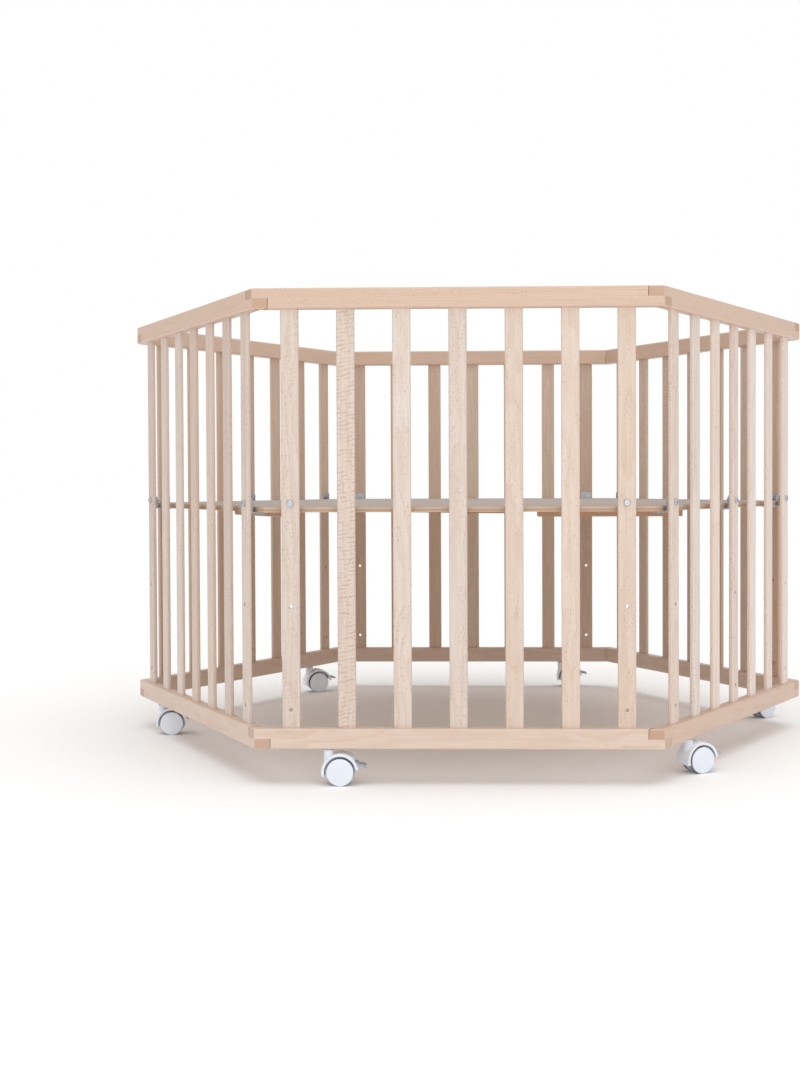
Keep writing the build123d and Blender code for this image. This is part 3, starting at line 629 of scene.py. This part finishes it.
def finish_piece(obj):
    """Leave edit mode, merge doubles, point the faces outwards and smooth all but real edges."""
    bpy.ops.object.mode_set(mode="EDIT")
    bpy.ops.mesh.select_all(action="SELECT")
    bpy.ops.mesh.remove_doubles(threshold=0.005 * MM)
    bpy.ops.mesh.normals_make_consistent(inside=False)
    bpy.ops.object.mode_set(mode="OBJECT")
    bpy.ops.object.shade_smooth_by_angle(angle=SMOOTH_ANGLE)


def apply_modifier(obj, kind, **settings):
    """Put a modifier on the object, set it up and apply it."""
    modifier = obj.modifiers.new(kind.lower(), kind)
    for key, value in settings.items():
        setattr(modifier, key, value)
    bpy.ops.object.modifier_apply(modifier=modifier.name)


def copy_to(obj, name, place):
    """A copy with its own mesh, carried by a matrix into the mesh, so that the object stays put."""
    copied = obj.copy()
    copied.data = obj.data.copy()
    copied.name = name
    copied.data.name = name
    bpy.context.scene.collection.objects.link(copied)
    copied.data.transform(place)
    copied.data.update()
    return copied


# %% [markdown]
# ## A wheel
# Each wheel is a moulded disc with a slightly domed outer face and a rounded rim, hollow behind, and a
# grey tread shrunk round it. It is a turned shape, so a cylinder is a good start: its outer face is
# inset and pushed to make the rim and the dome, and its inner face is inset and pushed in to hollow
# it. Insets on a round face keep the rings round. The tread is a second, separate piece.

# %% The wheel's sizes, in millimetres
WHEEL_SIDES = 64
WHEEL_RADIUS = 20.0
# Inner and outer faces are placed along the axle, from the caster's middle.
WHEEL_INNER, WHEEL_OUTER = 4.2, 16.6
TREAD_INNER, TREAD_OUTER = 5.2, 14.2
RIM_RADIUS, RIM_EDGE, RIM_WALL = 19.75, 0.3, 2.2
HOLLOW_WIDTH, HOLLOW_DEPTH = 11.4, 6.5
HUB_WALL, BORE_DEPTH = 2.9, 10.2
# The dome's rings: how far each lies inside the last, and how far out it stands.
DOME_RINGS = ((0.3, 0.42), (0.45, 0.3), (1.2, 0.22), (3.2, 0.3), (4.5, 0.22), (5.0, 0.08))
DOME_RISE = sum(rise for inset, rise in DOME_RINGS)
TREAD_SEAT, TREAD_EDGE = 18.6, 0.45
TREAD_SIDE_GAP, TREAD_SEAT_GAP = 0.1, 0.03

# %% Wheel disc
deselect_all()
bpy.ops.mesh.primitive_cylinder_add(
    vertices=WHEEL_SIDES, radius=RIM_RADIUS * MM, depth=(WHEEL_OUTER - WHEEL_INNER) * MM,
    location=(0, (WHEEL_OUTER + WHEEL_INNER) / 2 * MM, 0), rotation=(radians(90), 0, 0))
disc = bpy.context.object
disc.name = "wheel_disc"
bpy.ops.object.transform_apply(location=True, rotation=True, scale=True)


def push(amount):
    """Move the selection along the axle, outwards."""
    bpy.ops.transform.translate(value=(0, amount * MM, 0))


# Outer face: it is first pushed in, then rings inwards, each a little further out, make the dome.
pick(disc, lambda middle, normal: normal.y > 0.9)
push(-DOME_RISE)
for inset, rise in DOME_RINGS:
    bpy.ops.mesh.inset(thickness=inset * MM)
    push(rise)
# Inner face: a rim, a hollow and a hub around the axle.
pick(disc, lambda middle, normal: normal.y < -0.9)
bpy.ops.mesh.inset(thickness=RIM_EDGE * MM)
bpy.ops.mesh.inset(thickness=RIM_WALL * MM)
bpy.ops.mesh.extrude_region_move(TRANSFORM_OT_translate={"value": (0, HOLLOW_DEPTH * MM, 0)})
bpy.ops.mesh.inset(thickness=HOLLOW_WIDTH * MM)
bpy.ops.mesh.extrude_region_move(TRANSFORM_OT_translate={"value": (0, -HOLLOW_DEPTH * MM, 0)})
bpy.ops.mesh.inset(thickness=HUB_WALL * MM)
bpy.ops.mesh.extrude_region_move(TRANSFORM_OT_translate={"value": (0, BORE_DEPTH * MM, 0)})
finish_piece(disc)

# The two edges of the tread are cut into the wheel's skin.
bpy.ops.object.mode_set(mode="EDIT")
bpy.ops.mesh.select_all(action="SELECT")
for at in (TREAD_INNER, TREAD_OUTER):
    bpy.ops.mesh.bisect(plane_co=(0, at * MM, 0), plane_no=(0, 1, 0), use_fill=False)
    bpy.ops.mesh.select_all(action="SELECT")
bpy.ops.object.mode_set(mode="OBJECT")
print("wheel disc faces:", len(disc.data.polygons))

# %% [markdown]
# The bisects above cut the wheel's skin at the two edges of the tread. The band between them is then
# extruded and drawn in towards the axle, which leaves a groove for the tread to sit in.

# %% Groove for the tread
RIM_DEPTH = 0.6    # millimetres; a face this close to the rim belongs to it


def on_rim(middle, normal):
    """A face of the outer rim between the tread's two edges."""
    away = (middle.x ** 2 + middle.z ** 2) ** 0.5 / MM
    between = TREAD_INNER < middle.y / MM < TREAD_OUTER
    return between and away > RIM_RADIUS - RIM_DEPTH and abs(normal.y) < 0.2


pick(disc, on_rim)
bpy.ops.mesh.extrude_region_shrink_fatten(
    TRANSFORM_OT_shrink_fatten={"value": -(RIM_RADIUS - TREAD_SEAT) * MM})
finish_piece(disc)
paint(disc, white_nylon)

# %% [markdown]
# The tread is a ring of soft grey rubber that fills the groove and stands just proud of the rim, so
# that only rubber touches the ground. Two cylinders and their difference would make a ring. Here a
# cylinder without caps gets its thickness from Solidify, and a Bevel rounds its edges.

# %% Tread
deselect_all()
bpy.ops.mesh.primitive_cylinder_add(
    vertices=WHEEL_SIDES, radius=WHEEL_RADIUS * MM,
    depth=(TREAD_OUTER - TREAD_INNER - TREAD_SIDE_GAP) * MM, end_fill_type="NOTHING",
    location=(0, (TREAD_OUTER + TREAD_INNER) / 2 * MM, 0), rotation=(radians(90), 0, 0))
tread = bpy.context.object
tread.name = "wheel_tread"
bpy.ops.object.transform_apply(location=True, rotation=True, scale=True)
bpy.ops.object.mode_set(mode="EDIT")
bpy.ops.mesh.select_all(action="SELECT")
bpy.ops.mesh.normals_make_consistent(inside=False)
bpy.ops.object.mode_set(mode="OBJECT")
apply_modifier(tread, "SOLIDIFY", thickness=(WHEEL_RADIUS - TREAD_SEAT - TREAD_SEAT_GAP) * MM,
               offset=-1.0)
apply_modifier(tread, "BEVEL", width=TREAD_EDGE * MM, segments=3, limit_method="ANGLE",
               angle_limit=radians(50))
finish_piece(tread)
paint(tread, grey_tread)
print("tread reaches:", round(max(v.co.z for v in tread.data.vertices) / MM, 2), "mm from the axle")

# %% [markdown]
# ## The housing
# The housing is one moulding: a boss round the stem, a web between the wheels and a hood over them.
# The CAD part has the right form, with the room for the wheels and the brake in it, but its edges are
# as sharp as a knife. Modelling it anew could only move away from that form, so a copy of it is
# welded together, its flat faces are made whole again, and a Bevel takes all its sharp edges off, as
# the radius of a mould does. All six casters are alike, so one copy is worked on at the origin.

# %% Housing
HOUSING_EDGE = 0.55    # millimetres


def weld_cad_copy(node_name, name):
    """A copy of a front CAD part, brought to the origin, welded, with flat faces made whole."""
    deselect_all()
    copied = copy_to(nodes[node_name], name, caster_places["front"].inverted())
    copied.parent = None
    copied.select_set(True)
    bpy.context.view_layer.objects.active = copied
    bpy.ops.object.mode_set(mode="EDIT")
    bpy.ops.mesh.select_all(action="SELECT")
    bpy.ops.mesh.remove_doubles(threshold=0.01 * MM)
    bpy.ops.mesh.dissolve_limited(angle_limit=radians(1.5))
    bpy.ops.object.mode_set(mode="OBJECT")
    return copied


def soften_edges(obj, edge):
    """Round every sharp edge, as a mould does, and smooth the rest."""
    apply_modifier(obj, "BEVEL", width=edge * MM, segments=3, limit_method="ANGLE",
                   angle_limit=radians(40), use_clamp_overlap=True)
    bpy.ops.object.mode_set(mode="EDIT")
    bpy.ops.mesh.select_all(action="SELECT")
    bpy.ops.mesh.dissolve_degenerate(threshold=0.002 * MM)
    bpy.ops.object.mode_set(mode="OBJECT")
    bpy.ops.object.shade_smooth_by_angle(angle=SMOOTH_ANGLE)


hood = weld_cad_copy("front_caster_housing", "caster_hood")
soften_edges(hood, HOUSING_EDGE)
paint(hood, white_nylon)
print("housing faces:", len(hood.data.polygons))

# %% [markdown]
# ## The brake lever
# The lever is a rocker between the housing's cheeks, with a flat pad for the foot. Levers of this kind
# often have a grey grip with raised ribs moulded over a white core, which shows underneath. The CAD
# part gives the rocker, so a copy is welded like the housing. Bisect then cuts the pad across at both
# edges of each rib, and the strips of its top face between the cuts are extruded. The faces that look
# down get the white material, so one piece has both.

# %% Brake lever
PAD_SLOPE = radians(-12)
RIB_PLACES = (6.6, 8.9, 11.2)    # millimetres from the pivot, along the pad
RIB_WIDTH, RIB_HEIGHT = 1.2, 0.5
LEVER_EDGE = 0.3
lever_pivot = caster_places["front"].inverted() @ Vector(joints["front_brake_release"]["pos_m"])
print("lever pivot, from the axle:", [round(x / MM, 3) for x in lever_pivot])
pad_along = Vector((cos(PAD_SLOPE), 0, sin(PAD_SLOPE)))
pad_up = Vector((-sin(PAD_SLOPE), 0, cos(PAD_SLOPE)))

lever = weld_cad_copy("front_brake_lever", "brake_pedal")
bpy.ops.object.mode_set(mode="EDIT")
for rib_place in RIB_PLACES:
    for side in (-0.5, 0.5):
        bpy.ops.mesh.select_all(action="SELECT")
        cut = lever_pivot + pad_along * (rib_place + side * RIB_WIDTH) * MM
        bpy.ops.mesh.bisect(plane_co=cut, plane_no=pad_along)


def on_rib(middle, normal):
    """A face of the pad's top that lies between the two cuts of a rib."""
    along = (middle - lever_pivot).dot(pad_along) / MM
    near_rib = any(abs(along - rib_place) < RIB_WIDTH / 2 for rib_place in RIB_PLACES)
    return normal.dot(pad_up) > 0.99 and near_rib


pick(lever, on_rib)
bpy.ops.mesh.extrude_region_move(TRANSFORM_OT_translate={"value": pad_up * RIB_HEIGHT * MM})
bpy.ops.object.mode_set(mode="OBJECT")
soften_edges(lever, LEVER_EDGE)
paint(lever, grey_pad)
lever.data.materials.append(white_nylon)
for face in lever.data.polygons:
    face.material_index = 1 if face.normal.dot(pad_up) < -0.4 else 0
print("lever faces:", len(lever.data.polygons))

# %% [markdown]
# ## Setting the pieces in place
# Each copy stands for the CAD part it replaces and rides on that part's body, so that wheels turn,
# levers lift and housings swivel with the joints. The tread and disc of one wheel ride together.

# %% Place the casters
HALF_TURN = Matrix.Rotation(pi, 4, "Z")
for panel, place in caster_places.items():
    for side in ("outer", "inner"):
        # The caster's outer side is to the right of its heading, so that wheel is turned about.
        wheel_place = place @ HALF_TURN if side == "outer" else place
        body = f"{panel}_{side}_wheel"
        wheel = copy_to(disc, f"{panel}_{side}_wheel_disc", wheel_place)
        band = copy_to(tread, f"{panel}_{side}_wheel_tread", wheel_place)
        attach(wheel, body)
        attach(band, body)
        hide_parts(f"{panel}_caster_{side}_wheel")
    housing = copy_to(hood, f"{panel}_caster_hood", place)
    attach(housing, f"{panel}_caster")
    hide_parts(f"{panel}_caster_housing")
    pedal = copy_to(lever, f"{panel}_brake_pedal", place)
    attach(pedal, f"{panel}_brake")
    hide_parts(f"{panel}_brake_lever")
for pattern in (disc, tread, hood, lever):
    bpy.data.objects.remove(pattern)
print("wheels:", 2 * len(caster_places))

# %% [markdown]
# ## The studio
# The playpen stands in a white studio: a white floor, an even white surround, one broad light
# overhead and one large soft panel in front. Lamps alone would leave the surround black, and a
# surround alone gives no form. The overhead light is a sun with a very large disc, which falls evenly
# on the whole floor and leaves the space under the playpen's own floor in soft shade. The panel is
# near by, so its light fades with distance, and the back of the pen is darker than the front. The
# surround shows as white but lights less, through a Light Path node.

# %% Floor and lights
SURROUND_LIGHT = 0.62
SUN_POWER, SUN_WIDTH = 1.22, radians(70)
PANEL_POWER, PANEL_WIDTH = 15, 2.4    # watts, metres
deselect_all()
bpy.ops.mesh.primitive_plane_add(size=80, location=(0, 0, 0))
ground = bpy.context.object
ground.name = "studio_floor"
matt_white = start_material("pale_studio_floor", Base_Color=WHITE, Roughness=0.95,
                            Specular_IOR_Level=0.0)[0]
paint(ground, matt_white)

world = bpy.data.worlds.new("studio_surround")
bpy.context.scene.world = world
world.use_nodes = True
tree = world.node_tree
ray = add(tree, "ShaderNodeLightPath")
brightness = add(tree, "ShaderNodeMapRange", {"Value": ray.outputs["Is Camera Ray"],
                                              "To Min": SURROUND_LIGHT, "To Max": 1.0})
tree.nodes["Background"].inputs["Color"].default_value = WHITE
tree.links.new(brightness.outputs["Result"], tree.nodes["Background"].inputs["Strength"])


def lamp(name, kind, place, aim, power, **settings):
    """A lamp of any kind at a place, turned to face a point."""
    data = bpy.data.lights.new(name, kind)
    data.energy = power
    for key, value in settings.items():
        setattr(data, key, value)
    made = bpy.data.objects.new(name, data)
    bpy.context.scene.collection.objects.link(made)
    made.location = place
    made.rotation_euler = (Vector(aim) - Vector(place)).to_track_quat("-Z", "Y").to_euler()


lamp("overhead", "SUN", (0.3, -0.5, 4), (0, 0, 0), SUN_POWER, angle=SUN_WIDTH)
lamp("front_panel", "AREA", (0.3, -2.9, 0.9), (0, 0, 0.3), PANEL_POWER, size=PANEL_WIDTH)
bpy.context.scene.view_settings.view_transform = "Standard"
